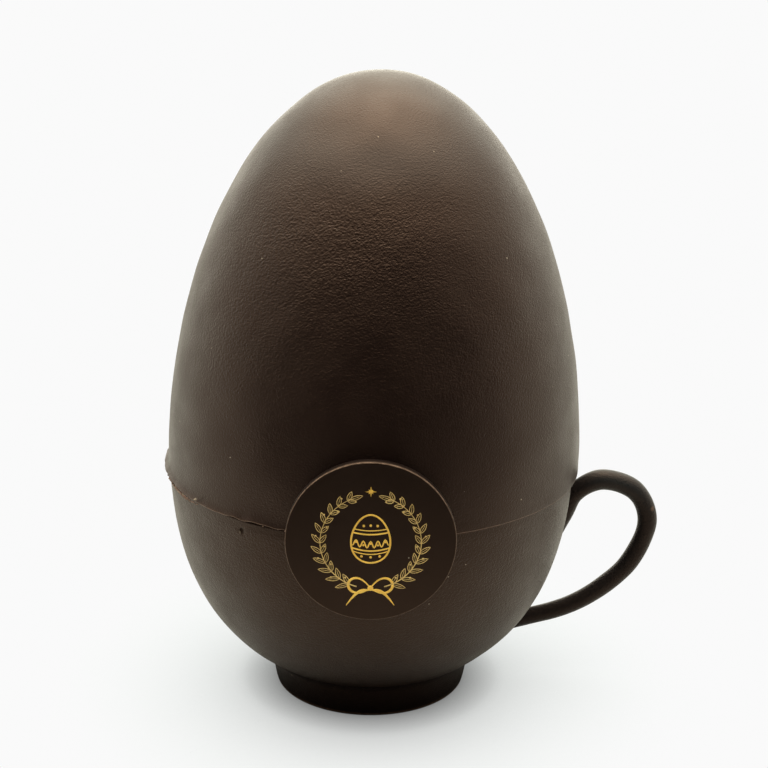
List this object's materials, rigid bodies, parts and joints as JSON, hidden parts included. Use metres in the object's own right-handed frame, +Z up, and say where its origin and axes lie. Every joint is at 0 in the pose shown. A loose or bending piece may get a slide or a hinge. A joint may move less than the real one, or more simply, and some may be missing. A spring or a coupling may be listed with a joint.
{
  "type": "chocolate egg",
  "caption": "Dark chocolate egg whose lower half is a tea cup with a low foot and an ear handle, with a flat round plaque on the front over the seam.",
  "frame": {"origin": "centre of the foot's flat base", "axes": "+Z up through the egg's tip, the plaque faces -Y, the handle points to +X"},
  "size_m": [0.1348, 0.1134, 0.1691],
  "materials": {
    "dark_chocolate": "satin dark chocolate with a fine pebbled skin",
    "cup_chocolate": "smoother satin dark chocolate",
    "plaque_chocolate": "smooth blackish chocolate with a light worn edge",
    "gold_print": "edible gold printed on the plaque"
  },
  "bodies": {
    "root": {"egg_top": "dark_chocolate", "cup_bowl": "cup_chocolate", "cup_foot": "cup_chocolate", "cup_handle": "cup_chocolate", "plaque": "plaque_chocolate"}
  },
  "joints": []
}
